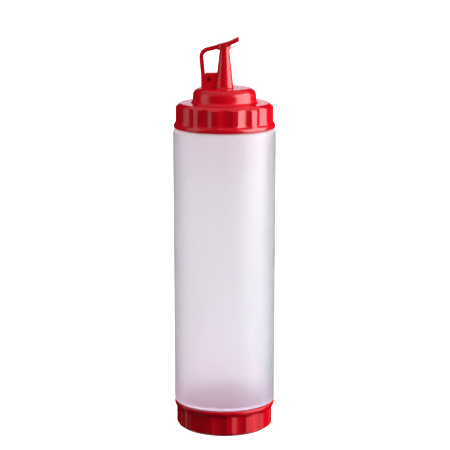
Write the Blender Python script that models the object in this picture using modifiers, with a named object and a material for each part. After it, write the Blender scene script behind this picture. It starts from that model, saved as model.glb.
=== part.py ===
"""Two-ended sauce squeeze bottle: a soft tube of frosted plastic, a red screw lid and a red base cap.

The lid is one moulding with its nozzle, and a strap that carries the nozzle's closure.
Units are metres, +Z is up, the bottle's axis is Z and its base stands at z = 0.
The lid's strap lies in the XZ plane, on the -X side, and -Y is the front.
Run with: blender --background --python part.py
"""

import math

import bmesh
import bpy
from mathutils import Matrix, Vector

OBJECT_NAME = "sauce_squeeze_bottle"

# Driving dimensions
GAP = 0.0003
BODY_RADIUS_TOP = 0.0353
BODY_RADIUS_LOW = 0.0348
BODY_LENGTH = 0.1920
BODY_WALL = 0.0011
SHOULDER_ROUND_TOP = 0.0030
SHOULDER_ROUND_LOW = 0.0018
NECK_RADIUS = 0.0308
NECK_WALL = 0.0014
NECK_TOP_LENGTH = 0.0117
NECK_LOW_LENGTH = 0.0142
NECK_EDGE_ROUND = 0.0003
NECK_ROOT_ROUND = 0.0004

# Both caps: a lip round the open edge, a flare, a fluted skirt and a chamfer
CAP_LIP_RADIUS = 0.0348
CAP_LIP_HEIGHT = 0.0018
CAP_FLARE_HEIGHT = 0.0030
CAP_SKIRT_RADIUS = 0.0336
CAP_CROWN_RADIUS = 0.0333
CAP_FLAT_RADIUS = 0.0303
CAP_CHAMFER_DROP = 0.0022
CAP_BORE_RADIUS = 0.0311
CAP_WALL = 0.0018
LIP_EDGE_ROUND = 0.0007
LIP_TOP_ROUND = 0.0005
SKIRT_FOOT_ROUND = 0.0006
CROWN_ROUND = 0.0010
FLAT_EDGE_ROUND = 0.0005
BASE_HEIGHT = 0.0182
LID_SKIRT_HEIGHT = 0.0170

# Grip flutes, hollows of round section that run up the skirts
FLUTE_COUNT = 15
FLUTE_RADIUS = 0.0154
FLUTE_FLOOR_RADIUS = 0.0323
FLUTE_RUN_OUT = 0.0010
FLUTE_RUN_OUT_DEPTH = 0.0012
FLUTE_START = 0.0031
LID_FLUTE_TURN = math.radians(0.8)
BASE_FLUTE_TURN = math.radians(17.5)

# Base cap
BASE_FLOOR = 0.0020
BASE_RECESS_DEPTH = 0.0012
BASE_RING_RADIUS = 0.0250
FLOOR_ROUND = 0.0010

# Lid above its skirt
TIER_HEIGHT = 0.0101
TIER_RADIUS = 0.0214
TIER_FOOT_RADIUS = 0.0219
TIER_ROUND = 0.0042
TIER_FOOT_ROUND = 0.0016
NOZZLE_RADIUS = 0.0062
NOZZLE_TIP_RADIUS = 0.0032
NOZZLE_LENGTH = 0.0273
NOZZLE_WALL = 0.0017
NOZZLE_TIP_ROUND = 0.0004
NOZZLE_ROOT_ROUND = 0.0005

# Rib beside the nozzle, with a blind pin hole in each face
RIB_THICKNESS = 0.0050
RIB_HEIGHT = 0.0103
RIB_FOOT_X = -0.0159
RIB_NOTCH_X = -0.0129
RIB_CORNER_X = -0.0123
RIB_NOTCH_DROP = 0.0005
PIN_HOLE_RADIUS = 0.00155
PIN_HOLE_DEPTH = 0.0015
PIN_HOLE_X = -0.0107
PIN_HOLE_HEIGHT = 0.0061
PIN_RING_RADIUS = 0.0026
PIN_RING_RISE = 0.0003

# Strap from the rib's corner to the closure over the nozzle's tip
STRAP_THICKNESS = 0.0024
STRAP_FOOT_X = -0.0141
STRAP_FOOT_HEIGHT = 0.0089
STRAP_LEAN = math.radians(97.9)
STRAP_SLOPE = math.radians(14.9)
STRAP_BEND_RADIUS = 0.0052
STRAP_RISE = 0.0252
STRAP_END_X = 0.0032
CLOSURE_RADIUS = 0.0047
CLOSURE_X = -0.00035
CLOSURE_LIP = 0.0015
CLOSURE_DISC_RISE = 0.00015
SOCKET_CLEARANCE = 0.00035
TAB_WIDTH = 0.0085
TAB_END_X = 0.0098
TAB_SLOPE = math.radians(22.5)
TAB_CORNER = 0.0012

# Plastics: colour, roughness and transmission
RED_COLOUR = (0.58, 0.008, 0.018)
RED_ROUGHNESS = 0.18
FROSTED_COLOUR = (0.83, 0.80, 0.84)
FROSTED_ROUGHNESS = 0.42
FROSTED_TRANSMISSION = 0.35

# Fineness of the turned shapes
BODY_SEGMENTS = 48
CAP_SEGMENTS = 60
FLUTE_SEGMENTS = 60
SMALL_SEGMENTS = 32
LARGE_ROUND = 0.0015
LARGE_ROUND_STEPS = 4
MERGE_DISTANCE = 0.00001
SHARP_ANGLE = math.radians(32)

# Heights that follow from the dimensions above
BODY_Z = BASE_HEIGHT + GAP
BODY_TOP_Z = BODY_Z + BODY_LENGTH
LID_Z = BODY_TOP_Z + GAP
FLAT_Z = LID_Z + LID_SKIRT_HEIGHT
TIER_Z = FLAT_Z + TIER_HEIGHT
TIP_Z = TIER_Z + NOZZLE_LENGTH
RIB_Z = TIER_Z + RIB_HEIGHT
OVERLAP = 0.0006


def clear_scene():
    """Removes the objects and collections that a new file starts with."""
    for found in list(bpy.data.objects):
        bpy.data.objects.remove(found)
    for found in list(bpy.data.collections):
        bpy.data.collections.remove(found)


def collection(name):
    made = bpy.data.collections.new(name)
    bpy.context.scene.collection.children.link(made)
    return made


def plastic(name, colour, roughness, transmission=0.0):
    made = bpy.data.materials.new(name)
    made.use_nodes = True
    shader = made.node_tree.nodes["Principled BSDF"]
    shader.inputs["Base Color"].default_value = (*colour, 1.0)
    shader.inputs["Roughness"].default_value = roughness
    shader.inputs["Metallic"].default_value = 0.0
    shader.inputs["Transmission Weight"].default_value = transmission
    made.diffuse_color = (*colour, 1.0)
    return made


def rounded(corners):
    """Points of an outline given by its corners (x, y) or (x, y, radius), with each radius as an arc."""
    points = []
    for i, corner in enumerate(corners):
        here = Vector(corner[:2])
        radius = corner[2] if len(corner) > 2 else 0.0
        if radius == 0.0:
            points.append(here)
            continue
        to_last = (Vector(corners[i - 1][:2]) - here).normalized()
        to_next = (Vector(corners[(i + 1) % len(corners)][:2]) - here).normalized()
        half_angle = to_last.angle(to_next) / 2
        centre = here + (to_last + to_next).normalized() * (radius / math.sin(half_angle))
        start = here + to_last * (radius / math.tan(half_angle)) - centre
        turn = math.pi - 2 * half_angle
        if to_last.x * to_next.y - to_last.y * to_next.x > 0:
            turn = -turn
        steps = LARGE_ROUND_STEPS if radius > LARGE_ROUND else 1
        for step in range(steps + 1):
            angle = turn * step / steps
            c = math.cos(angle)
            s = math.sin(angle)
            points.append(centre + Vector((c * start.x - s * start.y, s * start.x + c * start.y)))
    return points


def turned(name, corners, segments, closed=False):
    """A solid turned round Z. Its outline, of (radius, z), runs down its outer side."""
    points = rounded(corners)
    edges = [(i, i + 1) for i in range(len(points) - 1)]
    if closed:
        edges.append((len(points) - 1, 0))
    mesh = bpy.data.meshes.new(name)
    mesh.from_pydata([(p.x, 0.0, p.y) for p in points], edges, [])
    made = bpy.data.objects.new(name, mesh)
    screw = made.modifiers.new("turn", "SCREW")
    screw.axis = "Z"
    screw.angle = 2 * math.pi
    screw.steps = segments
    screw.render_steps = segments
    screw.use_merge_vertices = True
    screw.merge_threshold = MERGE_DISTANCE
    return made


def flat_plate(name, points, thickness):
    """A plate cut to an outline of (x, z), standing in the XZ plane, with its thickness along Y."""
    curve = bpy.data.curves.new(name, "CURVE")
    curve.dimensions = "2D"
    curve.fill_mode = "BOTH"
    curve.extrude = thickness / 2
    spline = curve.splines.new("POLY")
    spline.points.add(len(points) - 1)
    for target, (x, z) in zip(spline.points, points):
        target.co = (x, z, 0.0, 1.0)
    spline.use_cyclic_u = True
    made = bpy.data.objects.new(name, curve)
    made.matrix_world = Matrix.Rotation(math.pi / 2, 4, "X")
    return made


def as_mesh(thing, tools):
    """The object as one mesh object of closed bodies, in the collection of tools."""
    if thing.name not in tools.objects:
        tools.objects.link(thing)
    bpy.context.view_layer.update()
    evaluated = thing.evaluated_get(bpy.context.evaluated_depsgraph_get())
    mesh = bpy.data.meshes.new_from_object(evaluated)
    shape = bmesh.new()
    shape.from_mesh(mesh)
    bmesh.ops.remove_doubles(shape, verts=shape.verts, dist=MERGE_DISTANCE)
    bmesh.ops.recalc_face_normals(shape, faces=shape.faces)
    shape.to_mesh(mesh)
    shape.free()
    made = bpy.data.objects.new(thing.name + "_mesh", mesh)
    made.matrix_world = thing.matrix_world
    made.hide_render = True
    made.display_type = "WIRE"
    tools.objects.link(made)
    bpy.data.objects.remove(thing)
    return made


def boolean(target, other, operation, solver="EXACT"):
    modifier = target.modifiers.new(other.name, "BOOLEAN")
    modifier.object = other
    modifier.operation = operation
    modifier.solver = solver


def settle(made, material):
    """Applies the modifiers, shades the mesh smooth between its sharp edges and gives it its plastic."""
    bpy.context.view_layer.update()
    evaluated = made.evaluated_get(bpy.context.evaluated_depsgraph_get())
    mesh = bpy.data.meshes.new_from_object(evaluated)
    made.modifiers.clear()
    made.data = mesh
    shape = bmesh.new()
    shape.from_mesh(mesh)
    bmesh.ops.remove_doubles(shape, verts=shape.verts, dist=MERGE_DISTANCE)
    shape.to_mesh(mesh)
    shape.free()
    mesh.shade_smooth()
    mesh.set_sharp_from_angle(angle=SHARP_ANGLE)
    mesh.materials.clear()
    mesh.materials.append(material)


def cap_side(open_z, closed_z, away):
    """Corners of a cap's outer side, from the lip at its open edge to the edge of its flat end.

    away is 1 where the cap is closed above its open edge, and -1 where it is closed below.
    """
    lip_z = open_z + away * CAP_LIP_HEIGHT
    skirt_z = lip_z + away * CAP_FLARE_HEIGHT
    crown_z = closed_z - away * CAP_CHAMFER_DROP
    return [
        (CAP_LIP_RADIUS, open_z, LIP_EDGE_ROUND),
        (CAP_LIP_RADIUS, lip_z, LIP_TOP_ROUND),
        (CAP_SKIRT_RADIUS, skirt_z, SKIRT_FOOT_ROUND),
        (CAP_CROWN_RADIUS, crown_z, CROWN_ROUND),
        (CAP_FLAT_RADIUS, closed_z, FLAT_EDGE_ROUND),
    ]


def flute_cutters(name, open_z, closed_z, away, turn, tools):
    """One cutter for each flute: a rod beside the cap, narrowed near the lip where the flute runs out."""
    axis_radius = FLUTE_FLOOR_RADIUS + FLUTE_RADIUS
    start_z = open_z + away * FLUTE_START
    full_z = start_z + away * FLUTE_RUN_OUT
    end_z = closed_z + away * OVERLAP
    narrow = FLUTE_RADIUS - FLUTE_RUN_OUT_DEPTH
    corners = [
        (0.0, start_z),
        (narrow, start_z),
        (FLUTE_RADIUS, full_z),
        (FLUTE_RADIUS, end_z),
        (0.0, end_z),
    ]
    if away > 0:
        corners.reverse()
    rod = as_mesh(turned(name, corners, FLUTE_SEGMENTS), tools)
    cutters = []
    for i in range(FLUTE_COUNT):
        angle = turn + i * 2 * math.pi / FLUTE_COUNT
        cutter = bpy.data.objects.new(f"{name}_{i + 1}", rod.data)
        cutter.location = (axis_radius * math.sin(angle), -axis_radius * math.cos(angle), 0.0)
        cutter.hide_render = True
        cutter.display_type = "WIRE"
        tools.objects.link(cutter)
        cutters.append(cutter)
    bpy.data.objects.remove(rod)
    return cutters


def bottle(parts, material):
    """The squeeze body: a tube with rounded shoulders and a plain neck at each end, open at both."""
    inner_neck = NECK_RADIUS - NECK_WALL
    inner_top_round = SHOULDER_ROUND_TOP - BODY_WALL
    inner_low_round = SHOULDER_ROUND_LOW - BODY_WALL
    neck_top_z = BODY_TOP_Z + NECK_TOP_LENGTH
    neck_low_z = BODY_Z - NECK_LOW_LENGTH
    corners = [
        (NECK_RADIUS, neck_top_z, NECK_EDGE_ROUND),
        (NECK_RADIUS, BODY_TOP_Z, NECK_ROOT_ROUND),
        (BODY_RADIUS_TOP, BODY_TOP_Z, SHOULDER_ROUND_TOP),
        (BODY_RADIUS_LOW, BODY_Z, SHOULDER_ROUND_LOW),
        (NECK_RADIUS, BODY_Z, NECK_ROOT_ROUND),
        (NECK_RADIUS, neck_low_z, NECK_EDGE_ROUND),
        (inner_neck, neck_low_z),
        (inner_neck, BODY_Z + BODY_WALL),
        (BODY_RADIUS_LOW - BODY_WALL, BODY_Z + BODY_WALL, inner_low_round),
        (BODY_RADIUS_TOP - BODY_WALL, BODY_TOP_Z - BODY_WALL, inner_top_round),
        (inner_neck, BODY_TOP_Z - BODY_WALL),
        (inner_neck, neck_top_z),
    ]
    made = turned("bottle", corners, BODY_SEGMENTS, closed=True)
    parts.objects.link(made)
    settle(made, material)


def base_cap(parts, tools, material):
    """The screw cap at the foot: a fluted cup that stands on a flat ring."""
    corners = [
        (0.0, BASE_RECESS_DEPTH + BASE_FLOOR),
        (CAP_BORE_RADIUS, BASE_RECESS_DEPTH + BASE_FLOOR, FLOOR_ROUND),
        (CAP_BORE_RADIUS, BASE_HEIGHT),
        *cap_side(BASE_HEIGHT, 0.0, -1),
        (BASE_RING_RADIUS, 0.0),
        (BASE_RING_RADIUS - BASE_RECESS_DEPTH, BASE_RECESS_DEPTH),
        (0.0, BASE_RECESS_DEPTH),
    ]
    made = turned("base_cap", corners, CAP_SEGMENTS)
    parts.objects.link(made)
    for cutter in flute_cutters("base_flute", BASE_HEIGHT, 0.0, -1, BASE_FLUTE_TURN, tools):
        boolean(made, cutter, "DIFFERENCE")
    settle(made, material)


def lid_corners():
    """The lid's turned section: nozzle, raised tier, flat and skirt outside, and the hollow inside."""
    ceiling_z = FLAT_Z - CAP_WALL
    inner_chamfer = CAP_BORE_RADIUS - (CAP_SKIRT_RADIUS - CAP_FLAT_RADIUS) / 2
    inner_tier = TIER_RADIUS - CAP_WALL
    outside = [
        (NOZZLE_TIP_RADIUS - NOZZLE_WALL, TIP_Z),
        (NOZZLE_TIP_RADIUS, TIP_Z, NOZZLE_TIP_ROUND),
        (NOZZLE_RADIUS, TIER_Z, NOZZLE_ROOT_ROUND),
        (TIER_RADIUS, TIER_Z, TIER_ROUND),
        (TIER_FOOT_RADIUS, FLAT_Z, TIER_FOOT_ROUND),
    ]
    inside = [
        (CAP_BORE_RADIUS, LID_Z),
        (CAP_BORE_RADIUS, ceiling_z - CAP_CHAMFER_DROP),
        (inner_chamfer, ceiling_z),
        (inner_tier, ceiling_z),
        (inner_tier, TIER_Z - CAP_WALL, TIER_ROUND - CAP_WALL),
        (NOZZLE_RADIUS - NOZZLE_WALL, TIER_Z - CAP_WALL),
    ]
    return outside + list(reversed(cap_side(LID_Z, FLAT_Z, 1))) + inside


def strap_line():
    """Centre line of the strap, as (x, z): up from the rib, round its bend and over to the closure."""
    lean = Vector((math.cos(STRAP_LEAN), math.sin(STRAP_LEAN)))
    slope = Vector((math.cos(STRAP_SLOPE), math.sin(STRAP_SLOPE)))
    foot = Vector((STRAP_FOOT_X, TIER_Z + STRAP_FOOT_HEIGHT))
    corner = foot + lean * ((STRAP_RISE - STRAP_FOOT_HEIGHT) / lean.y)
    turn = STRAP_LEAN - STRAP_SLOPE
    tangent = STRAP_BEND_RADIUS * math.tan(turn / 2)
    start = corner - lean * tangent
    centre = start + Vector((lean.y, -lean.x)) * STRAP_BEND_RADIUS
    steps = 3 * LARGE_ROUND_STEPS
    line = [(foot, STRAP_LEAN)]
    for step in range(steps + 1):
        heading = STRAP_LEAN - turn * step / steps
        outward = Vector((-math.sin(heading), math.cos(heading)))
        line.append((centre + outward * STRAP_BEND_RADIUS, heading))
    end = corner + slope * ((STRAP_END_X - corner.x) / slope.x)
    line.append((end, STRAP_SLOPE))
    return line


def rib_and_strap():
    """Outline of the rib beside the nozzle and of the strap that grows from its corner."""
    outer = []
    inner = []
    for point, heading in strap_line():
        side = Vector((-math.sin(heading), math.cos(heading))) * (STRAP_THICKNESS / 2)
        outer.append(tuple(point + side))
        inner.append(tuple(point - side))
    nozzle_slope = (NOZZLE_RADIUS - NOZZLE_TIP_RADIUS) / NOZZLE_LENGTH
    wall_middle = NOZZLE_WALL / 2
    foot_x = -(NOZZLE_RADIUS - wall_middle)
    top_x = foot_x + nozzle_slope * RIB_HEIGHT
    outline = [(RIB_FOOT_X, TIER_Z - OVERLAP), (RIB_FOOT_X, TIER_Z)]
    outline += outer
    outline += reversed(inner)
    outline += [
        (RIB_NOTCH_X, RIB_Z - RIB_NOTCH_DROP),
        (RIB_CORNER_X, RIB_Z),
        (top_x, RIB_Z),
        (foot_x, TIER_Z - OVERLAP),
    ]
    return outline


def strap_top(x):
    """Height of the strap's upper face over x, on its straight run to the closure."""
    point, heading = strap_line()[-1]
    rise = (x - point.x) * math.tan(STRAP_SLOPE)
    return point.y + rise + STRAP_THICKNESS / 2 / math.cos(heading)


def closure(tools):
    """The cap over the nozzle's tip: an upright collar under a sloping disc."""
    foot_z = TIP_Z - CLOSURE_LIP
    crown_z = TIP_Z + 2 * CLOSURE_RADIUS
    height = crown_z - foot_z
    middle = (CLOSURE_X, 0.0, foot_z + height / 2)
    bpy.ops.mesh.primitive_cylinder_add(
        vertices=SMALL_SEGMENTS, radius=CLOSURE_RADIUS, depth=height, location=middle
    )
    collar = bpy.context.object
    collar.name = "closure"
    bpy.context.scene.collection.objects.unlink(collar)

    size = 4 * CLOSURE_RADIUS
    bpy.ops.mesh.primitive_cube_add(size=size)
    above = bpy.context.object
    above.name = "closure_top_cutter"
    bpy.context.scene.collection.objects.unlink(above)
    surface = Matrix.Translation((CLOSURE_X, 0.0, strap_top(CLOSURE_X) + CLOSURE_DISC_RISE))
    tilt = Matrix.Rotation(-STRAP_SLOPE, 4, "Y")
    above.matrix_world = surface @ tilt @ Matrix.Translation((0.0, 0.0, size / 2))
    boolean(collar, as_mesh(above, tools), "DIFFERENCE")
    return as_mesh(collar, tools)


def finger_tab(tools):
    """The pull tab past the closure: a flat tongue tilted up more than the strap, with an upright end."""
    middle, _ = strap_line()[-1]
    slope = math.tan(TAB_SLOPE)
    half = STRAP_THICKNESS / 2 / math.cos(TAB_SLOPE)
    start_x = STRAP_END_X - STRAP_THICKNESS / 2
    start_z = middle.y + slope * (start_x - STRAP_END_X)
    end_z = middle.y + slope * (TAB_END_X - STRAP_END_X)
    side = [
        (start_x, start_z - half),
        (TAB_END_X, end_z - half),
        (TAB_END_X, end_z + half),
        (start_x, start_z + half),
    ]
    tab = as_mesh(flat_plate("finger_tab", side, TAB_WIDTH), tools)
    edge = TAB_WIDTH / 2
    outline = rounded(
        [(start_x, -edge), (TAB_END_X, -edge, TAB_CORNER), (TAB_END_X, edge, TAB_CORNER), (start_x, edge)]
    )
    plan = flat_plate("tab_outline", outline, TAB_WIDTH)
    plan.matrix_world = Matrix.Translation((0.0, 0.0, middle.y))
    boolean(tab, as_mesh(plan, tools), "INTERSECT")
    return as_mesh(tab, tools)


def rod(name, radius, start, end, tools):
    """A plain round rod from start to end, as a tool for the Boolean modifiers."""
    along = Vector(end) - Vector(start)
    turn = along.to_track_quat("Z", "Y").to_matrix().to_4x4()
    bpy.ops.mesh.primitive_cylinder_add(vertices=SMALL_SEGMENTS, radius=radius, depth=along.length)
    made = bpy.context.object
    made.name = name
    made.matrix_world = Matrix.Translation((Vector(start) + Vector(end)) / 2) @ turn
    bpy.context.scene.collection.objects.unlink(made)
    return as_mesh(made, tools)


def tether(tools):
    """Rib, strap, closure and tab as one piece, with its pin holes and the socket for the nozzle's tip."""
    made = as_mesh(flat_plate("rib_and_strap", rib_and_strap(), RIB_THICKNESS), tools)
    hole_z = TIER_Z + PIN_HOLE_HEIGHT
    ring_y = RIB_THICKNESS / 2 + PIN_RING_RISE
    ring_front = (PIN_HOLE_X, -ring_y, hole_z)
    ring_back = (PIN_HOLE_X, ring_y, hole_z)
    boolean(made, rod("pin_ring", PIN_RING_RADIUS, ring_front, ring_back, tools), "UNION")
    for side in (-1, 1):
        hole_mouth = (PIN_HOLE_X, side * (ring_y + OVERLAP), hole_z)
        hole_end = (PIN_HOLE_X, side * (RIB_THICKNESS / 2 - PIN_HOLE_DEPTH), hole_z)
        boolean(made, rod("pin_hole", PIN_HOLE_RADIUS, hole_mouth, hole_end, tools), "DIFFERENCE")
    boolean(made, closure(tools), "UNION")
    boolean(made, finger_tab(tools), "UNION")
    socket_foot = (0.0, 0.0, TIP_Z - 2 * CLOSURE_LIP)
    socket_roof = (0.0, 0.0, TIP_Z + SOCKET_CLEARANCE)
    socket = rod("socket", NOZZLE_TIP_RADIUS + SOCKET_CLEARANCE, socket_foot, socket_roof, tools)
    boolean(made, socket, "DIFFERENCE")
    return made


def lid(parts, tools, material):
    """The screw lid, in one piece with its nozzle, rib, strap and closure."""
    made = turned("lid", lid_corners(), CAP_SEGMENTS, closed=True)
    parts.objects.link(made)
    for cutter in flute_cutters("lid_flute", LID_Z, FLAT_Z, 1, LID_FLUTE_TURN, tools):
        boolean(made, cutter, "DIFFERENCE")
    boolean(made, tether(tools), "UNION", solver="MANIFOLD")
    settle(made, material)


def main():
    clear_scene()
    parts = collection(OBJECT_NAME)
    tools = collection("cutters")
    red = plastic("red_polypropylene", RED_COLOUR, RED_ROUGHNESS)
    frosted = plastic("frosted_polyethylene", FROSTED_COLOUR, FROSTED_ROUGHNESS, FROSTED_TRANSMISSION)
    bottle(parts, frosted)
    base_cap(parts, tools, red)
    lid(parts, tools, red)
    for tool in list(tools.objects):
        bpy.data.objects.remove(tool)
    bpy.data.collections.remove(tools)


main()
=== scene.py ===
import math

import bmesh
import bpy
from mathutils import Matrix, Vector


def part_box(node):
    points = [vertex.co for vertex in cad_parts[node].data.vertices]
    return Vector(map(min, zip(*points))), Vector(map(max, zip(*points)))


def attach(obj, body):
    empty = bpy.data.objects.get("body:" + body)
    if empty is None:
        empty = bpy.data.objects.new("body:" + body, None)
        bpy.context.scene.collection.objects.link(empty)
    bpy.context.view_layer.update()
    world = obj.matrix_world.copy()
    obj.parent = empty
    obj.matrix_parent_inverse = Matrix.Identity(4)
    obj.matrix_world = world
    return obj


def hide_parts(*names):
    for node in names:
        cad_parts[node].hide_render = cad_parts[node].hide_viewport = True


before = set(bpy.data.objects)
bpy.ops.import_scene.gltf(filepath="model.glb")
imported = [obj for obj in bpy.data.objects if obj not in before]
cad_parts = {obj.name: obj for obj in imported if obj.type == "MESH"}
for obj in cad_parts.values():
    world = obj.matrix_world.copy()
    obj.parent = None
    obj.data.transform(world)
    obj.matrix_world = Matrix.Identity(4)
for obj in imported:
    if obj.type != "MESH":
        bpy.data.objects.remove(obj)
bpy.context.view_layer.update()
bpy.ops.object.select_all(action="DESELECT")
MM = 0.001


# The squeeze body: one blow-moulded tube of natural low-density polyethylene, about 1 mm thick, with a neck
# at each end. The neck's threads are inside the caps and don't show, so the necks are plain.
BODY_WALL = 1.1 * MM
BODY_RADIUS_TOP = 35.3 * MM
BODY_RADIUS_LOW = 34.8 * MM
BODY_SHOULDER_TOP = 3.0 * MM
BODY_SHOULDER_LOW = 1.8 * MM
NECK_RADIUS = 30.8 * MM
NECK_WALL = 1.4 * MM
NECK_EDGE = 0.3 * MM
NECK_ROOT_ROUND = 0.4 * MM
BODY_SEGMENTS = 256
BODY_STEP = 4.0 * MM
MERGE_DISTANCE = 0.002 * MM
# Painted glow: the strength and reach of the caps' red light, painted as a pink tint into the wall's colour
BASE_PAINTED_GLOW = 0.36
BASE_PAINTED_GLOW_HEIGHT = 27.0 * MM
LID_PAINTED_GLOW = 0.14
LID_PAINTED_GLOW_HEIGHT = 50.0 * MM
WALL_CLARITY = 0.66
RING_CLARITY = 0.15
FOOT_RING_START = 1.6 * MM
FOOT_RING_END = 3.0 * MM
TOP_RING_START = 0.6 * MM
TOP_RING_END = 2.2 * MM
bottle_low, bottle_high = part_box("bottle")
base_low, base_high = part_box("base_cap")
lid_low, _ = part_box("lid")
GAP = 0.3 * MM
body_low_z = base_high.z + GAP
body_top_z = lid_low.z - GAP


def outline(corners, step, arc_step=0.35 * MM, closed=False):
    """Points along an outline of (x, z) or (x, z, radius) corners: straight runs in steps, and each radius
    as an arc."""
    points = []
    for i, corner in enumerate(corners):
        here = Vector(corner[:2])
        radius = corner[2] if len(corner) > 2 else 0.0
        if radius == 0.0:
            points.append(here)
            continue
        to_last = (Vector(corners[i - 1][:2]) - here).normalized()
        to_next = (Vector(corners[(i + 1) % len(corners)][:2]) - here).normalized()
        half = to_last.angle(to_next) / 2
        centre = here + (to_last + to_next).normalized() * (radius / math.sin(half))
        start = here + to_last * (radius / math.tan(half)) - centre
        turn = math.pi - 2 * half
        if to_last.cross(to_next) > 0:
            turn = -turn
        pieces = max(3, math.ceil(abs(turn) * radius / arc_step))
        for k in range(pieces + 1):
            points.append(centre + Matrix.Rotation(turn * k / pieces, 2) @ start)
    stepped = []
    ends = points[1:] + points[:1] if closed else points[1:]
    for a, b in zip(points, ends):
        pieces = max(1, math.ceil((b - a).length / step))
        stepped += [a.lerp(b, k / pieces) for k in range(pieces)]
    return stepped if closed else stepped + [points[-1]]


def chain(name, points, closed=False):
    """A line of edges through points in the XZ plane, drawn by extruding one vertex; leaves it open in edit mode."""
    bpy.ops.mesh.primitive_plane_add(size=MM, location=(0, 0, 0))
    piece = bpy.context.object
    piece.name = name
    piece.data.name = name
    bpy.ops.object.mode_set(mode="EDIT")
    bpy.ops.mesh.select_all(action="SELECT")
    bpy.ops.mesh.merge(type="CENTER")
    bpy.ops.transform.translate(value=(points[0].x, 0, points[0].y))
    for a, b in zip(points, points[1:]):
        bpy.ops.mesh.extrude_vertices_move(TRANSFORM_OT_translate={"value": (b.x - a.x, 0, b.y - a.y)})
    if closed:
        shape = bmesh.from_edit_mesh(piece.data)
        shape.verts.ensure_lookup_table()
        shape.edges.new((shape.verts[-1], shape.verts[0]))
        bmesh.update_edit_mesh(piece.data)
    return piece


def turned(name, points, segments, closed=False):
    """A shape turned round the bottle's axis from its outline, with the seam and the poles closed."""
    piece = chain(name, points, closed)
    bpy.ops.object.mode_set(mode="OBJECT")
    bpy.ops.object.modifier_add(type="SCREW")
    turn = piece.modifiers[-1]
    turn.axis = "Z"
    turn.angle = 2 * math.pi
    turn.steps = segments
    turn.render_steps = segments
    turn.use_merge_vertices = True
    turn.merge_threshold = MERGE_DISTANCE
    bpy.ops.object.modifier_apply(modifier=turn.name)
    bpy.ops.object.mode_set(mode="EDIT")
    bpy.ops.mesh.select_all(action="SELECT")
    bpy.ops.mesh.remove_doubles(threshold=MERGE_DISTANCE)
    bpy.ops.mesh.normals_make_consistent(inside=False)
    bpy.ops.object.mode_set(mode="OBJECT")
    bpy.ops.object.shade_smooth()
    return piece


def linear(colour):
    """The scene-linear colour of an sRGB hex value."""
    parts = [int(colour[i:i + 2], 16) / 255 for i in (1, 3, 5)]
    return (*[p / 12.92 if p <= 0.04045 else ((p + 0.055) / 1.055) ** 2.4 for p in parts], 1.0)


def add(tree, kind, values=None, links=None, **settings):
    """Adds a node with its settings, the values of its sockets and the links into them."""
    made = tree.nodes.new(kind)
    for name, value in settings.items():
        setattr(made, name, value)
    for socket, value in (values or {}).items():
        made.inputs[socket].default_value = value
    for socket, source in (links or {}).items():
        tree.links.new(source, made.inputs[socket])
    return made


def material(name):
    """A new material and its node tree, empty."""
    made = bpy.data.materials.new(name)
    made.use_nodes = True
    made.node_tree.nodes.clear()
    return made, made.node_tree


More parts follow.
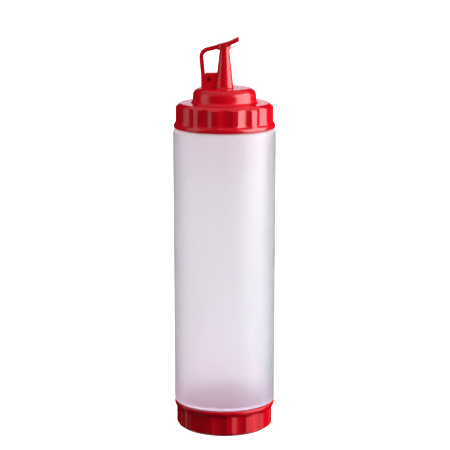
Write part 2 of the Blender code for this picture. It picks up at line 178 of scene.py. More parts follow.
def frosted_polyethylene():
    """Natural low-density polyethylene, blow-moulded: milky, with a satin skin that carries the mould's fine
    blasted texture, faint upright flow lines, and light that scatters through its wall."""
    made, tree = material("frosted_polyethylene")
    place = add(tree, "ShaderNodeTexCoord")
    # Flow lines of the parison, about 3 mm apart round the tube and 60 mm long
    upright = add(tree, "ShaderNodeMapping", {"Scale": (1.0, 1.0, 0.05)}, {"Vector": place.outputs["Object"]})
    flow = add(tree, "ShaderNodeTexNoise", {"Scale": 1 / (3 * MM), "Detail": 3.0}, {"Vector": upright.outputs[0]})
    # The mould's blasted skin, drawn at 1.1 mm so that it shows
    grain = add(tree, "ShaderNodeTexNoise", {"Scale": 1 / (1.1 * MM), "Detail": 4.0, "Roughness": 0.6},
                {"Vector": place.outputs["Object"]})
    # Slow unevenness of the wall, over about 40 mm
    wall = add(tree, "ShaderNodeTexNoise", {"Scale": 1 / (40 * MM), "Detail": 2.0},
               {"Vector": place.outputs["Object"]})
    tint = add(tree, "ShaderNodeMix", {"A": linear("#F8F6F8"), "B": linear("#F4F1F4")},
               {"Factor": wall.outputs["Fac"]}, data_type="RGBA")
    # Painted glow: the red light of the caps that shines faintly into the wall, painted into its colour as a pink
    # tint, up from the base and down from the lid
    height = add(tree, "ShaderNodeSeparateXYZ", links={"Vector": place.outputs["Object"]})
    base_painted_glow = add(tree, "ShaderNodeMapRange",
                     {"From Min": body_low_z, "From Max": body_low_z + BASE_PAINTED_GLOW_HEIGHT,
                      "To Min": BASE_PAINTED_GLOW, "To Max": 0.0},
                     {"Value": height.outputs["Z"]}, interpolation_type="SMOOTHERSTEP")
    lid_painted_glow = add(tree, "ShaderNodeMapRange",
                    {"From Min": body_top_z - LID_PAINTED_GLOW_HEIGHT, "From Max": body_top_z,
                     "To Min": 0.0, "To Max": LID_PAINTED_GLOW},
                    {"Value": height.outputs["Z"]})
    painted_glow = add(tree, "ShaderNodeMath", links={0: base_painted_glow.outputs["Result"], 1: lid_painted_glow.outputs["Result"]},
                operation="ADD")
    colour = add(tree, "ShaderNodeMix", {"B": linear("#FFC6EA")},
                 {"Factor": painted_glow.outputs[0], "A": tint.outputs["Result"]}, data_type="RGBA")
    # Thicker, milkier plastic at both shoulders, where the tube was drawn in to its necks
    foot_ring = add(tree, "ShaderNodeMapRange",
                    {"From Min": body_low_z + FOOT_RING_START, "From Max": body_low_z + FOOT_RING_END,
                     "To Min": RING_CLARITY, "To Max": WALL_CLARITY},
                    {"Value": height.outputs["Z"]}, interpolation_type="SMOOTHSTEP")
    top_ring = add(tree, "ShaderNodeMapRange",
                   {"From Min": body_top_z - TOP_RING_END, "From Max": body_top_z - TOP_RING_START,
                    "To Min": WALL_CLARITY, "To Max": RING_CLARITY},
                   {"Value": height.outputs["Z"]}, interpolation_type="SMOOTHSTEP")
    clear = add(tree, "ShaderNodeMath", links={0: foot_ring.outputs["Result"], 1: top_ring.outputs["Result"]},
                operation="MINIMUM")
    gloss = add(tree, "ShaderNodeMapRange", {"From Min": 0.3, "From Max": 0.7, "To Min": 0.28, "To Max": 0.38},
                {"Value": flow.outputs["Fac"]})
    relief = add(tree, "ShaderNodeBump", {"Strength": 0.25, "Distance": 0.05 * MM}, {"Height": grain.outputs["Fac"]})
    lines = add(tree, "ShaderNodeBump", {"Strength": 0.25, "Distance": 0.10 * MM},
                {"Height": flow.outputs["Fac"], "Normal": relief.outputs["Normal"]})
    shader = add(tree, "ShaderNodeBsdfPrincipled",
                 {"IOR": 1.51, "Subsurface Weight": 0.9, "Subsurface Radius": (1.0, 0.85, 0.95),
                  "Subsurface Scale": 4.0 * MM},
                 {"Base Color": colour.outputs["Result"], "Roughness": gloss.outputs["Result"],
                  "Transmission Weight": clear.outputs[0], "Normal": lines.outputs["Normal"]})
    add(tree, "ShaderNodeOutputMaterial", links={"Surface": shader.outputs["BSDF"]})
    return made


def squeeze_body():
    """The tube and its two necks, turned from one closed section of its wall."""
    inner_neck = NECK_RADIUS - NECK_WALL
    section = outline([
        (NECK_RADIUS, bottle_high.z, NECK_EDGE),
        (NECK_RADIUS, body_top_z, NECK_ROOT_ROUND),
        (BODY_RADIUS_TOP, body_top_z, BODY_SHOULDER_TOP),
        (BODY_RADIUS_LOW, body_low_z, BODY_SHOULDER_LOW),
        (NECK_RADIUS, body_low_z, NECK_ROOT_ROUND),
        (NECK_RADIUS, bottle_low.z, NECK_EDGE),
        (inner_neck, bottle_low.z),
        (inner_neck, body_low_z + BODY_WALL),
        (BODY_RADIUS_LOW - BODY_WALL, body_low_z + BODY_WALL, BODY_SHOULDER_LOW - BODY_WALL),
        (BODY_RADIUS_TOP - BODY_WALL, body_top_z - BODY_WALL, BODY_SHOULDER_TOP - BODY_WALL),
        (inner_neck, body_top_z - BODY_WALL),
        (inner_neck, bottle_high.z),
    ], BODY_STEP, closed=True)
    return turned("squeeze_body", section, BODY_SEGMENTS, closed=True)


body = squeeze_body()
body.data.materials.append(frosted_polyethylene())
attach(body, "root")
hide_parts("bottle")


# The screw base: an injection-moulded cup of red polypropylene with a lip, 15 hollow grip flutes and a
# chamfered foot. It screws on the lower neck and stands on a flat ring round a shallow recess.
CAP_LIP_RADIUS = 34.8 * MM
CAP_LIP_HEIGHT = 1.8 * MM
CAP_FLARE_HEIGHT = 3.0 * MM
CAP_SKIRT_RADIUS = 33.45 * MM
CAP_CROWN_RADIUS = 33.4 * MM
CAP_FLAT_RADIUS = 30.3 * MM
CAP_CHAMFER_DROP = 2.2 * MM
CAP_BORE_RADIUS = 31.1 * MM
CAP_LIP_EDGE = 0.6 * MM
CAP_LIP_ROUND = 0.5 * MM
CAP_FLARE_ROUND = 0.6 * MM
CAP_CROWN_ROUND = 1.0 * MM
CAP_FLAT_ROUND = 0.5 * MM
CAP_SEGMENTS = 360
CAP_STEP = 0.4 * MM
HIDDEN_STEP = 4.0 * MM
FLUTE_COUNT = 15
FLUTE_RADIUS = 15.4 * MM
FLUTE_FLOOR_RADIUS = 32.3 * MM
FLUTE_START = 3.1 * MM
FLUTE_RUN_OUT = 1.0 * MM
FLUTE_RUN_OUT_DEPTH = 1.2 * MM
FLUTE_EDGE = 0.28 * MM
FLAT_MARGIN = 0.01 * MM
BASE_FLUTE_TURN = math.radians(17.5)
BASE_FLOOR = 2.0 * MM
BASE_RECESS = 1.2 * MM
BASE_RING_RADIUS = 25.0 * MM
BASE_RING_EDGE = 0.3 * MM
BASE_RECESS_ROUND = 0.5 * MM
BASE_INNER_ROUND = 1.0 * MM


def cap_side(open_z, closed_z, away):
    """Corners of a cap's outer side from its lip to its flat end; away is 1 if it closes above, -1 if below."""
    return [
        (CAP_LIP_RADIUS, open_z, CAP_LIP_EDGE),
        (CAP_LIP_RADIUS, open_z + away * CAP_LIP_HEIGHT, CAP_LIP_ROUND),
        (CAP_SKIRT_RADIUS, open_z + away * (CAP_LIP_HEIGHT + CAP_FLARE_HEIGHT), CAP_FLARE_ROUND),
        (CAP_CROWN_RADIUS, closed_z - away * CAP_CHAMFER_DROP, CAP_CROWN_ROUND),
        (CAP_FLAT_RADIUS, closed_z, CAP_FLAT_ROUND),
    ]


def press_flutes(piece, open_z, closed_z, away, turn):
    """Pulls the skirt in to the hollow flutes. Their round edges come from a soft minimum of two surfaces,
    which no modelling operator gives without pinched shading."""
    axis = FLUTE_FLOOR_RADIUS + FLUTE_RADIUS
    pitch = 2 * math.pi / FLUTE_COUNT
    for vertex in piece.data.vertices:
        radius = math.hypot(vertex.co.x, vertex.co.y)
        along = away * (vertex.co.z - open_z) - FLUTE_START
        if radius < CAP_FLAT_RADIUS or along < 0 or away * (closed_z - vertex.co.z) < FLAT_MARGIN:
            continue
        angle = math.atan2(vertex.co.x, -vertex.co.y) - turn
        angle -= pitch * round(angle / pitch)
        narrowed = FLUTE_RUN_OUT_DEPTH * (1 - min(along / FLUTE_RUN_OUT, 1.0)) ** 2
        reach = (FLUTE_RADIUS - narrowed) ** 2 - (axis * math.sin(angle)) ** 2
        if reach <= 0:
            continue
        hollow = axis * math.cos(angle) - math.sqrt(reach)
        blend = max(FLUTE_EDGE - abs(radius - hollow), 0.0)
        pulled = min(radius, hollow) - blend * blend / (4 * FLUTE_EDGE)
        vertex.co.x *= pulled / radius
        vertex.co.y *= pulled / radius


def red_polypropylene():
    """Red polypropylene, injection-moulded in a polished mould: a clear gloss over a deep even colour, with
    the slight ripple of a cooled skin and a few rubbed, duller patches."""
    made, tree = material("red_polypropylene")
    place = add(tree, "ShaderNodeTexCoord")
    # Ripple of the moulded skin, 2.5 mm across
    ripple = add(tree, "ShaderNodeTexNoise", {"Scale": 1 / (2.5 * MM), "Detail": 2.0},
                 {"Vector": place.outputs["Object"]})
    # Pigment streaks, over about 15 mm
    pigment = add(tree, "ShaderNodeTexNoise", {"Scale": 1 / (15 * MM), "Detail": 4.0, "Distortion": 0.6},
                  {"Vector": place.outputs["Object"]})
    # Rubbed patches, about 6 mm across, from hands and shelves
    rubbed = add(tree, "ShaderNodeTexNoise", {"Scale": 1 / (6 * MM), "Detail": 5.0, "Roughness": 0.65},
                 {"Vector": place.outputs["Object"]})
    colour = add(tree, "ShaderNodeMix", {"A": linear("#DE0A22"), "B": linear("#D2061C")},
                 {"Factor": pigment.outputs["Fac"]}, data_type="RGBA")
    gloss = add(tree, "ShaderNodeMapRange", {"From Min": 0.35, "From Max": 0.75, "To Min": 0.13, "To Max": 0.22},
                {"Value": rubbed.outputs["Fac"]})
    relief = add(tree, "ShaderNodeBump", {"Strength": 0.2, "Distance": 0.03 * MM}, {"Height": ripple.outputs["Fac"]})
    shader = add(tree, "ShaderNodeBsdfPrincipled",
                 {"IOR": 1.49, "Subsurface Weight": 0.15, "Subsurface Radius": (1.0, 0.12, 0.1),
                  "Subsurface Scale": 1.2 * MM},
                 {"Base Color": colour.outputs["Result"], "Roughness": gloss.outputs["Result"],
                  "Normal": relief.outputs["Normal"]})
    add(tree, "ShaderNodeOutputMaterial", links={"Surface": shader.outputs["BSDF"]})
    return made


def screw_base():
    """The base cap, turned from one outline of its inside, outside and underside, and then fluted."""
    seen = outline([
        (CAP_BORE_RADIUS, base_high.z),
        *cap_side(base_high.z, base_low.z, -1),
        (BASE_RING_RADIUS, base_low.z, BASE_RING_EDGE),
        (BASE_RING_RADIUS - BASE_RECESS, base_low.z + BASE_RECESS, BASE_RECESS_ROUND),
        (0.0, base_low.z + BASE_RECESS),
    ], CAP_STEP)
    floor_z = base_low.z + BASE_RECESS + BASE_FLOOR
    hidden = outline([
        (0.0, floor_z),
        (CAP_BORE_RADIUS, floor_z, BASE_INNER_ROUND),
        (CAP_BORE_RADIUS, base_high.z),
    ], HIDDEN_STEP)
    piece = turned("screw_base", hidden[:-1] + seen, CAP_SEGMENTS)
    press_flutes(piece, base_high.z, base_low.z, -1, BASE_FLUTE_TURN)
    return piece


red_plastic = red_polypropylene()
foot = screw_base()
foot.data.materials.append(red_plastic)
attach(foot, "root")
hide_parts("base_cap")


# The screw lid: red polypropylene, injection-moulded. Above the fluted skirt it has a flat, a raised round
# tier and a conical nozzle, all round the bottle's axis.
LID_SKIRT_HEIGHT = 17.0 * MM
TIER_HEIGHT = 10.1 * MM
TIER_RADIUS = 21.4 * MM
TIER_FOOT_RADIUS = 21.9 * MM
TIER_TOP_ROUND = 5.0 * MM
TIER_FOOT_ROUND = 2.4 * MM
CAP_WALL = 1.8 * MM
LID_INNER_CHAMFER = 2.0 * MM
NOZZLE_RADIUS = 6.2 * MM
NOZZLE_TIP_RADIUS = 3.2 * MM
NOZZLE_LENGTH = 27.3 * MM
NOZZLE_WALL = 1.7 * MM
NOZZLE_TIP_EDGE = 0.4 * MM
NOZZLE_FOOT_ROUND = 0.6 * MM
LID_FLUTE_TURN = math.radians(0.8)
flat_z = lid_low.z + LID_SKIRT_HEIGHT
tier_z = flat_z + TIER_HEIGHT
tip_z = tier_z + NOZZLE_LENGTH


def screw_lid():
    """The lid without its tether, turned from the closed outline of its outside and inside, and then fluted."""
    ceiling_z = flat_z - CAP_WALL
    inner_tier = TIER_RADIUS - CAP_WALL
    seen = outline([
        (NOZZLE_TIP_RADIUS - NOZZLE_WALL, tip_z),
        (NOZZLE_TIP_RADIUS, tip_z, NOZZLE_TIP_EDGE),
        (NOZZLE_RADIUS, tier_z, NOZZLE_FOOT_ROUND),
        (TIER_RADIUS, tier_z, TIER_TOP_ROUND),
        (TIER_FOOT_RADIUS, flat_z, TIER_FOOT_ROUND),
        *reversed(cap_side(lid_low.z, flat_z, 1)),
        (CAP_BORE_RADIUS, lid_low.z),
    ], CAP_STEP)
    hidden = outline([
        (CAP_BORE_RADIUS, lid_low.z),
        (CAP_BORE_RADIUS, ceiling_z - CAP_CHAMFER_DROP),
        (CAP_BORE_RADIUS - LID_INNER_CHAMFER, ceiling_z),
        (inner_tier, ceiling_z),
        (inner_tier, tier_z - CAP_WALL, TIER_TOP_ROUND - CAP_WALL),
        (NOZZLE_RADIUS - NOZZLE_WALL, tier_z - CAP_WALL),
        (NOZZLE_TIP_RADIUS - NOZZLE_WALL, tip_z),
    ], HIDDEN_STEP)
    piece = turned("screw_lid", seen + hidden[1:-1], CAP_SEGMENTS, closed=True)
    press_flutes(piece, lid_low.z, flat_z, 1, LID_FLUTE_TURN)
    return piece


lid = screw_lid()
lid.data.materials.append(red_plastic)
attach(lid, "root")
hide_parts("lid")


# The tether: the rib beside the nozzle, the flexible strap that grows from it, and the closure with its
# finger tab, pushed over the nozzle's tip. It is moulded in one with the lid, of the same red plastic.
RIB_THICKNESS = 5.0 * MM
RIB_HEIGHT = 10.3 * MM
RIB_FOOT_X = -15.9 * MM
RIB_NOTCH_X = -12.9 * MM
RIB_CORNER_X = -12.3 * MM
RIB_NOTCH_DROP = 0.5 * MM
RIB_SINK = 0.6 * MM
PIN_HOLE_RADIUS = 1.55 * MM
PIN_HOLE_DEPTH = 2.3 * MM
PIN_HOLE_X = -10.7 * MM
PIN_HOLE_HEIGHT = 6.1 * MM
PIN_RING_RADIUS = 2.6 * MM
PIN_RING_RISE = 0.3 * MM
STRAP_THICKNESS = 2.9 * MM
STRAP_FOOT_X = -14.6 * MM
STRAP_FOOT_HEIGHT = 8.9 * MM
STRAP_LEAN = math.radians(95.3)
STRAP_SLOPE = math.radians(14.4)
STRAP_BEND_RADIUS = 5.2 * MM
STRAP_RISE = 24.95 * MM
STRAP_END_X = 3.2 * MM
STRAP_BEND_STEPS = 18
CLOSURE_RADIUS = 4.7 * MM
CLOSURE_X = -0.35 * MM
CLOSURE_LIP = 1.5 * MM
CLOSURE_DISC_RISE = 0.3 * MM
SOCKET_CLEARANCE = 0.35 * MM
TAB_WIDTH = 8.5 * MM
TAB_END_X = 9.8 * MM
TAB_SLOPE = math.radians(24.5)
TAB_RISE = 0.3 * MM
TAB_CORNER = 1.2 * MM
TAB_CORNER_STEPS = 8
TETHER_EDGE = 0.3 * MM
TETHER_EDGE_STEPS = 3
TETHER_EDGE_ANGLE = math.radians(38)
TETHER_SMOOTH_ANGLE = math.radians(40)
ROUND_SEGMENTS = 96
CUT_ROOM = 1.0 * MM
END_MARGIN = 0.1 * MM


def strap_line():
    """Centre line of the strap as (point, heading): up from the rib, round its bend and over to the closure."""
    lean = Vector((math.cos(STRAP_LEAN), math.sin(STRAP_LEAN)))
    slope = Vector((math.cos(STRAP_SLOPE), math.sin(STRAP_SLOPE)))
    foot_point = Vector((STRAP_FOOT_X, tier_z + STRAP_FOOT_HEIGHT))
    corner = foot_point + lean * ((STRAP_RISE - STRAP_FOOT_HEIGHT) / lean.y)
    turn = STRAP_LEAN - STRAP_SLOPE
    centre = corner - lean * (STRAP_BEND_RADIUS * math.tan(turn / 2))
    centre += Vector((lean.y, -lean.x)) * STRAP_BEND_RADIUS
    line = [(foot_point, STRAP_LEAN)]
    for step in range(STRAP_BEND_STEPS + 1):
        heading = STRAP_LEAN - turn * step / STRAP_BEND_STEPS
        line.append((centre + Vector((-math.sin(heading), math.cos(heading))) * STRAP_BEND_RADIUS, heading))
    line.append((corner + slope * ((STRAP_END_X - corner.x) / slope.x), STRAP_SLOPE))
    return line


def cut_plate(name, points, thickness):
    """A plate with the outline of points in the XZ plane, its thickness centred on y = 0."""
    piece = chain(name, points, closed=True)
    bpy.ops.mesh.select_all(action="SELECT")
    bpy.ops.mesh.edge_face_add()
    bpy.ops.transform.translate(value=(0, -thickness / 2, 0))
    bpy.ops.mesh.extrude_region_move(TRANSFORM_OT_translate={"value": (0, thickness, 0)})
    bpy.ops.mesh.select_all(action="SELECT")
    bpy.ops.mesh.normals_make_consistent(inside=False)
    bpy.ops.object.mode_set(mode="OBJECT")
    return piece


def join(piece, other, operation):
    """Joins or cuts a piece with another, and removes the other."""
    modifier = piece.modifiers.new(operation, "BOOLEAN")
    modifier.object = other
    modifier.operation = operation
    modifier.solver = "EXACT"
    bpy.context.view_layer.objects.active = piece
    bpy.ops.object.modifier_apply(modifier=modifier.name)
    bpy.data.objects.remove(other)


def round_rod(radius, start, end):
    """A cylinder from one point to another."""
    along = Vector(end) - Vector(start)
    bpy.ops.mesh.primitive_cylinder_add(
        vertices=ROUND_SEGMENTS, radius=radius, depth=along.length, location=(Vector(start) + Vector(end)) / 2,
        rotation=along.to_track_quat("Z", "Y").to_euler())
    return bpy.context.object


def rib_and_strap():
    """The plate of the rib and the strap that grows from it, sunk a little into the tier and the nozzle."""
    outer = []
    inner = []
    for point, heading in strap_line():
        side = Vector((-math.sin(heading), math.cos(heading))) * (STRAP_THICKNESS / 2)
        outer.append(point + side)
        inner.append(point - side)
    narrowing = (NOZZLE_RADIUS - NOZZLE_TIP_RADIUS) / NOZZLE_LENGTH
    foot_x = -(NOZZLE_RADIUS - NOZZLE_WALL / 2)
    rib_z = tier_z + RIB_HEIGHT
    points = [Vector((RIB_FOOT_X, tier_z - RIB_SINK)), Vector((RIB_FOOT_X, tier_z))]
    points += outer + inner[::-1]
    points += [
        Vector((RIB_NOTCH_X, rib_z - RIB_NOTCH_DROP)),
        Vector((RIB_CORNER_X, rib_z)),
        Vector((foot_x + narrowing * RIB_HEIGHT, rib_z)),
        Vector((foot_x, tier_z - RIB_SINK)),
    ]
    return cut_plate("tether", points, RIB_THICKNESS)


def closure():
    """The collar over the nozzle's tip, bisected by the sloping plane of the disc that the strap runs into."""
    end, heading = strap_line()[-1]
    top_z = end.y + (CLOSURE_X - end.x) * math.tan(heading) + STRAP_THICKNESS / 2 / math.cos(heading)
    collar = round_rod(CLOSURE_RADIUS, (CLOSURE_X, 0, tip_z - CLOSURE_LIP),
                       (CLOSURE_X, 0, tip_z + 3 * CLOSURE_RADIUS))
    bpy.ops.object.transform_apply(location=True, rotation=True, scale=True)
    bpy.ops.object.mode_set(mode="EDIT")
    bpy.ops.mesh.select_all(action="SELECT")
    bpy.ops.mesh.bisect(
        plane_co=(CLOSURE_X, 0, top_z + CLOSURE_DISC_RISE), plane_no=(-math.sin(heading), 0, math.cos(heading)),
        use_fill=True, clear_outer=True)
    bpy.ops.object.mode_set(mode="OBJECT")
    return collar


def finger_tab():
    """The tongue past the closure, about ten degrees steeper than the strap, with an upright end and two
    rounded corners."""
    strap_end, _ = strap_line()[-1]
    start_x = STRAP_END_X - STRAP_THICKNESS
    length = TAB_END_X - start_x
    bpy.ops.mesh.primitive_cube_add(
        size=1, location=(start_x + length / 2, 0, strap_end.y + TAB_RISE),
        scale=(length, TAB_WIDTH, STRAP_THICKNESS / math.cos(TAB_SLOPE)))
    tab = bpy.context.object
    bpy.ops.object.transform_apply(location=True, rotation=True, scale=True)
    bpy.ops.object.mode_set(mode="EDIT")
    shape = bmesh.from_edit_mesh(tab.data)
    for edge in shape.edges:
        edge.select = all(v.co.x > TAB_END_X - END_MARGIN for v in edge.verts) and (
            edge.verts[0].co.y * edge.verts[1].co.y > 0)
    shape.select_flush_mode()
    bmesh.update_edit_mesh(tab.data)
    bpy.ops.mesh.bevel(offset=TAB_CORNER, segments=TAB_CORNER_STEPS, affect="EDGES")
    shape = bmesh.from_edit_mesh(tab.data)
    for vertex in shape.verts:
        vertex.co.z += (vertex.co.x - STRAP_END_X) * math.tan(TAB_SLOPE)
    bmesh.update_edit_mesh(tab.data)
    bpy.ops.object.mode_set(mode="OBJECT")
    return tab


def tether():
    """The rib and strap, the pin hole in its raised ring on both sides, the closure with its socket, and the tab."""
    piece = rib_and_strap()
    hole_z = tier_z + PIN_HOLE_HEIGHT
    face_y = RIB_THICKNESS / 2 + PIN_RING_RISE
    join(piece, round_rod(PIN_RING_RADIUS, (PIN_HOLE_X, -face_y, hole_z), (PIN_HOLE_X, face_y, hole_z)), "UNION")
    for side in (-1, 1):
        mouth = (PIN_HOLE_X, side * (face_y + CUT_ROOM), hole_z)
        end = (PIN_HOLE_X, side * (RIB_THICKNESS / 2 - PIN_HOLE_DEPTH), hole_z)
        join(piece, round_rod(PIN_HOLE_RADIUS, mouth, end), "DIFFERENCE")
    join(piece, closure(), "UNION")
    join(piece, finger_tab(), "UNION")
    socket = round_rod(NOZZLE_TIP_RADIUS + SOCKET_CLEARANCE, (0, 0, tip_z - 2 * CLOSURE_LIP),
                       (0, 0, tip_z + SOCKET_CLEARANCE))
    join(piece, socket, "DIFFERENCE")
    bpy.ops.object.select_all(action="DESELECT")
    piece.select_set(True)
    bpy.context.view_layer.objects.active = piece
    edges = piece.modifiers.new("moulded_edges", "BEVEL")
    edges.width = TETHER_EDGE
    edges.segments = TETHER_EDGE_STEPS
    edges.limit_method = "ANGLE"
    edges.angle_limit = TETHER_EDGE_ANGLE
    edges.use_clamp_overlap = True
    bpy.ops.object.modifier_apply(modifier=edges.name)
    bpy.ops.object.shade_smooth_by_angle(angle=TETHER_SMOOTH_ANGLE)
    flats = piece.modifiers.new("flat_sides", "WEIGHTED_NORMAL")
    flats.keep_sharp = True
    bpy.ops.object.modifier_apply(modifier=flats.name)
    return piece


strap = tether()
strap.data.materials.append(red_plastic)
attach(strap, "root")
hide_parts("lid")


# The studio: a plain white table that runs on past the picture, a bright white wall behind, a large soft light
# to the right, a dimmer one to the left, and the camera at the photograph's angle, in an otherwise dark room.
# Some panels show only in mirror images or only through the tube, and most lights are kept to some pieces.
FLOOR_SIZE = 16.0
BACKDROP_Y = 3.0
BACKDROP_WIDTH = 4.2
BACKDROP_TOP = 0.95
MIRRORED_GAP = 0.01
MIRRORED_WIDTH = 1.2
SURROUND_Y = 3.2
SURROUND_WIDTH = 8.0
SURROUND_HEIGHT = 4.0
SIDE_SURROUND_X = 2.5
SIDE_SURROUND_Y = 1.2
SIDE_SURROUND_LENGTH = 4.0
SIDE_SURROUND_HEIGHT = 3.0
RIGHT_AZIMUTH = 75
LEFT_AZIMUTH = -76
SIDE_LIGHT_DISTANCE = 1.0
SIDE_LIGHT_HEIGHT = 0.45
SIDE_LIGHT_LENGTH = 1.1
SIDE_LIGHT_AIM = (0, 0, 0.13)
SHED_GAP = 0.02
SHED_STEP = 0.01
LOW_LEFT_AZIMUTH = -105
LOW_PANEL_Z = -0.38
LOW_PANEL_HEIGHT = 0.7
FOOT_PANEL_Z = -0.002
FOOT_PANEL_SIZE = 0.058
CEILING_Z = 1.8
CEILING_SIZE = 3.0
FOOT_LIGHT_DISTANCE = 0.15
FOOT_LIGHT_Z = 0.02
FOOT_LIGHT_AIM = (0, 0, 0.035)
RIM_AZIMUTH = 150
RIM_LIGHT_DISTANCE = 1.5
RIM_LIGHT_Z = 0.1
RIM_LIGHT_AIM = (0, 0, 0.08)
ROOM_GLOW_LOW = 0.06
ROOM_GLOW_HIGH = 0.75
ROOM_GLOW_POWER = 3.0
CAMERA_DISTANCE = 1.2088
CAMERA_HEIGHT = 0.38046
CAMERA_PITCH = math.radians(11.134)
CAMERA_SIDE = 0.00035
PHOTO_WIDTH = 450
FOCAL_PIXELS = 1782.8
SENSOR_WIDTH = 36.0
CAMERA_REACH = 20
UPRIGHT = math.pi / 2


def backlit_white(name, strength, face="#F5F5F5", glow_colour="#FFFFFF"):
    """Opal white acrylic, lit from behind: an even glow with a faint haze."""
    made, tree = material(name)
    place = add(tree, "ShaderNodeTexCoord")
    haze = add(tree, "ShaderNodeTexNoise", {"Scale": 3.0, "Detail": 2.0}, {"Vector": place.outputs["Object"]})
    glow = add(tree, "ShaderNodeMapRange", {"To Min": strength, "To Max": 1.06 * strength},
               {"Value": haze.outputs["Fac"]})
    shader = add(tree, "ShaderNodeBsdfPrincipled",
                 {"Base Color": linear(face), "Roughness": 0.6, "Emission Color": linear(glow_colour)},
                 {"Emission Strength": glow.outputs["Result"]})
    add(tree, "ShaderNodeOutputMaterial", links={"Surface": shader.outputs["BSDF"]})
    return made


def soft_light(name, place, target, width, height, radiance, colour="#FFFFFF"):
    """A rectangular soft light with a given brightness of its face, which the plastic mirrors."""
    bpy.ops.object.light_add(type="AREA", location=place)
    lamp = bpy.context.object
    lamp.name = name
    lamp.rotation_euler = (Vector(target) - Vector(place)).to_track_quat("-Z", "Y").to_euler()
    lamp.data.shape = "RECTANGLE"
    lamp.data.size = width
    lamp.data.size_y = height
    lamp.data.energy = radiance * math.pi * width * height
    lamp.data.color = linear(colour)[:3]
    return lamp


def around(azimuth, distance, height):
    """A place round the bottle; azimuth is in degrees from the camera's side, towards the right."""
    a = math.radians(azimuth)
    return (distance * math.sin(a), -distance * math.cos(a), height)


def panel(name, glow, place, rotation, width, height, seen_in):
    """A plane of backlit acrylic. seen_in names the rays that meet it: camera, transmission, glossy, diffuse
    or shadow."""
    bpy.ops.mesh.primitive_plane_add(size=1, location=place, rotation=rotation)
    made = bpy.context.object
    made.name = name
    made.scale = (width, height, 1)
    bpy.ops.object.transform_apply(location=True, rotation=True, scale=True)
    made.data.materials.append(glow)
    made.visible_camera = "camera" in seen_in
    made.visible_transmission = "transmission" in seen_in
    made.visible_glossy = "glossy" in seen_in
    made.visible_diffuse = "diffuse" in seen_in
    made.visible_shadow = "shadow" in seen_in
    return made


white = backlit_white("backlit_white_acrylic", strength=1.35)
panel("table", white, (0, 0, 0), (0, 0, 0), FLOOR_SIZE, FLOOR_SIZE, seen_in=("camera", "transmission", "shadow"))
panel("backdrop", white, (0, BACKDROP_Y, BACKDROP_TOP / 2), (UPRIGHT, 0, 0), BACKDROP_WIDTH, BACKDROP_TOP,
      seen_in=("camera", "transmission", "diffuse"))
panel("back_surround", white, (0, SURROUND_Y, SURROUND_HEIGHT / 2), (UPRIGHT, 0, 0), SURROUND_WIDTH,
      SURROUND_HEIGHT, seen_in=("transmission",))
pale_blue = backlit_white("pale_blue_acrylic", strength=1.75, glow_colour="#D8E8FF")
for side in (-1, 1):
    panel("side_surround", pale_blue, (side * SIDE_SURROUND_X, SIDE_SURROUND_Y, SIDE_SURROUND_HEIGHT / 2),
          (UPRIGHT, 0, UPRIGHT), SIDE_SURROUND_LENGTH, SIDE_SURROUND_HEIGHT, seen_in=("transmission",))
dim_backdrop = backlit_white("dim_backdrop_acrylic", strength=1.0, face="#101010", glow_colour="#FFF4FF")
panel("mirrored_backdrop", dim_backdrop, (0, BACKDROP_Y + MIRRORED_GAP, BACKDROP_TOP / 2), (UPRIGHT, 0, 0),
      MIRRORED_WIDTH, BACKDROP_TOP, seen_in=("glossy",))
dim_right = backlit_white("dim_right_acrylic", strength=0.9)
dim_left = backlit_white("dim_left_acrylic", strength=0.35)
dim_foot = backlit_white("dim_foot_acrylic", strength=0.3)
panel("low_right_panel", dim_right, around(RIGHT_AZIMUTH, SIDE_LIGHT_DISTANCE, LOW_PANEL_Z),
      (UPRIGHT, 0, math.radians(RIGHT_AZIMUTH)), width=1.15, height=LOW_PANEL_HEIGHT, seen_in=("glossy",))
panel("low_left_panel", dim_left, around(LOW_LEFT_AZIMUTH, SIDE_LIGHT_DISTANCE, LOW_PANEL_Z),
      (UPRIGHT, 0, math.radians(LOW_LEFT_AZIMUTH)), width=0.3, height=LOW_PANEL_HEIGHT, seen_in=("glossy",))
panel("foot_panel", dim_foot, (0, 0, FOOT_PANEL_Z), (0, 0, 0), FOOT_PANEL_SIZE, FOOT_PANEL_SIZE,
      seen_in=("glossy",))
dim_ceiling = backlit_white("dim_ceiling_acrylic", strength=0.34)
panel("ceiling_panel", dim_ceiling, (0, 0, CEILING_Z), (0, 0, 0), CEILING_SIZE, CEILING_SIZE, seen_in=("glossy",))


def lit_group(name, pieces):
    """A collection of the pieces that some of the lights are kept to."""
    group = bpy.data.collections.new(name)
    for piece in pieces:
        group.objects.link(piece)
    return group


tube = lit_group("lit_tube", [body])
top_reds = lit_group("lit_top_reds", [lid, strap])
foot_red = lit_group("lit_foot_red", [foot])


def shed_light(name, receivers, place, target, width, height, radiance, colour="#FFFFFF"):
    """The light that a soft light sheds on its receivers alone, without the face that the plastic mirrors."""
    lamp = soft_light(name, place, target, width, height, radiance, colour)
    lamp.light_linking.receiver_collection = receivers
    lamp.visible_camera = False
    lamp.visible_transmission = False
    lamp.visible_glossy = False
    return lamp


def side_light(name, azimuth, width, mirrored, on_top, on_foot, on_tube):
    """A large soft light: a face that the plastic mirrors, and close behind it the light shed on each group."""
    face = soft_light(name, around(azimuth, SIDE_LIGHT_DISTANCE, SIDE_LIGHT_HEIGHT), SIDE_LIGHT_AIM, width,
                      SIDE_LIGHT_LENGTH, mirrored)
    face.visible_diffuse = False
    face.visible_transmission = False
    for step, (group, shed) in enumerate(((top_reds, on_top), (foot_red, on_foot), (tube, on_tube))):
        place = around(azimuth, SIDE_LIGHT_DISTANCE + SHED_GAP + SHED_STEP * step, SIDE_LIGHT_HEIGHT)
        shed_light(name + "_on_" + group.name, group, place, SIDE_LIGHT_AIM, width, SIDE_LIGHT_LENGTH, shed)


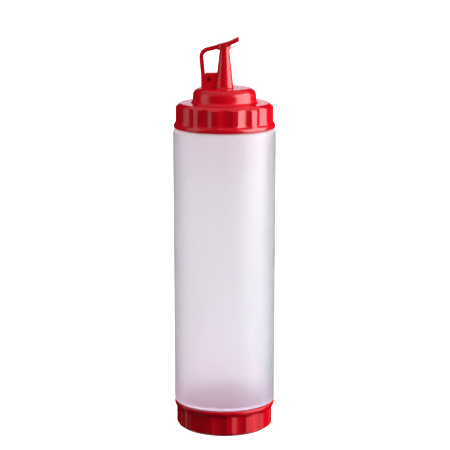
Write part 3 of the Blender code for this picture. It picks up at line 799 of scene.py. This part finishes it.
side_light("right_soft_light", RIGHT_AZIMUTH, width=1.25, mirrored=6.0, on_top=4.9, on_foot=4.9, on_tube=3.95)
side_light("left_soft_light", LEFT_AZIMUTH, width=0.65, mirrored=0.95, on_top=2.5, on_foot=1.4, on_tube=2.5)
shed_light("tube_front_light", tube, around(azimuth=-30, distance=1.2, height=0.05), target=(0, 0, 0.06),
           width=0.6, height=0.4, radiance=9.0)
for name, azimuth, radiance, colour in (
        ("tube_foot_light", -24, 4.2, "#FFCCF0"), ("tube_foot_right_light", 50, 2.9, "#B4CCFF")):
    shed_light(name, tube, around(azimuth, FOOT_LIGHT_DISTANCE, FOOT_LIGHT_Z), FOOT_LIGHT_AIM,
               width=0.14, height=0.05, radiance=radiance, colour=colour)
over_lid = shed_light("tube_top_light", tube, place=(0, -0.12, 0.9), target=(0, 0, 0.21),
                      width=0.3, height=0.3, radiance=5.0, colour="#FFE4E8")
over_lid.light_linking.blocker_collection = tube
for name, azimuth, radiance, colour in (
        ("tube_left_rim_light", -RIM_AZIMUTH, 2.6, "#B8D4FF"), ("tube_right_rim_light", RIM_AZIMUTH, 3.0, "#90BCFF")):
    shed_light(name, tube, around(azimuth, RIM_LIGHT_DISTANCE, RIM_LIGHT_Z), RIM_LIGHT_AIM,
               width=0.6, height=0.9, radiance=radiance, colour=colour)

# The room: dark at and below table height, with a faint glow from a pale ceiling
world = bpy.data.worlds.new("dim_room")
bpy.context.scene.world = world
world.use_nodes = True
sky = world.node_tree
sky.nodes.clear()
direction = add(sky, "ShaderNodeTexCoord")
up = add(sky, "ShaderNodeSeparateXYZ", links={"Vector": direction.outputs["Generated"]})
high = add(sky, "ShaderNodeMath", {1: ROOM_GLOW_POWER}, {0: up.outputs["Z"]}, operation="POWER", use_clamp=True)
ceiling = add(sky, "ShaderNodeMapRange", {"To Min": ROOM_GLOW_LOW, "To Max": ROOM_GLOW_HIGH},
              {"Value": high.outputs[0]})
room = add(sky, "ShaderNodeBackground", {"Color": linear("#FFFFFF")}, {"Strength": ceiling.outputs["Result"]})
add(sky, "ShaderNodeOutputWorld", links={"Surface": room.outputs["Background"]})
world.cycles_visibility.glossy = False

# The camera, fitted to the ellipses of the lid's lip, the base's edge and the foot
bpy.ops.object.camera_add(location=(CAMERA_SIDE, -CAMERA_DISTANCE, CAMERA_HEIGHT),
                          rotation=(UPRIGHT - CAMERA_PITCH, 0, 0))
camera = bpy.context.object
camera.data.sensor_width = SENSOR_WIDTH
camera.data.lens = FOCAL_PIXELS / PHOTO_WIDTH * SENSOR_WIDTH
camera.data.clip_end = CAMERA_REACH
bpy.context.scene.camera = camera
bpy.context.scene.view_settings.view_transform = "Standard"
# More bounces than by default, for the light that is scattered to and fro inside the tube
bpy.context.scene.cycles.max_bounces = 32
bpy.context.scene.cycles.diffuse_bounces = 12
bpy.context.scene.cycles.transmission_bounces = 32
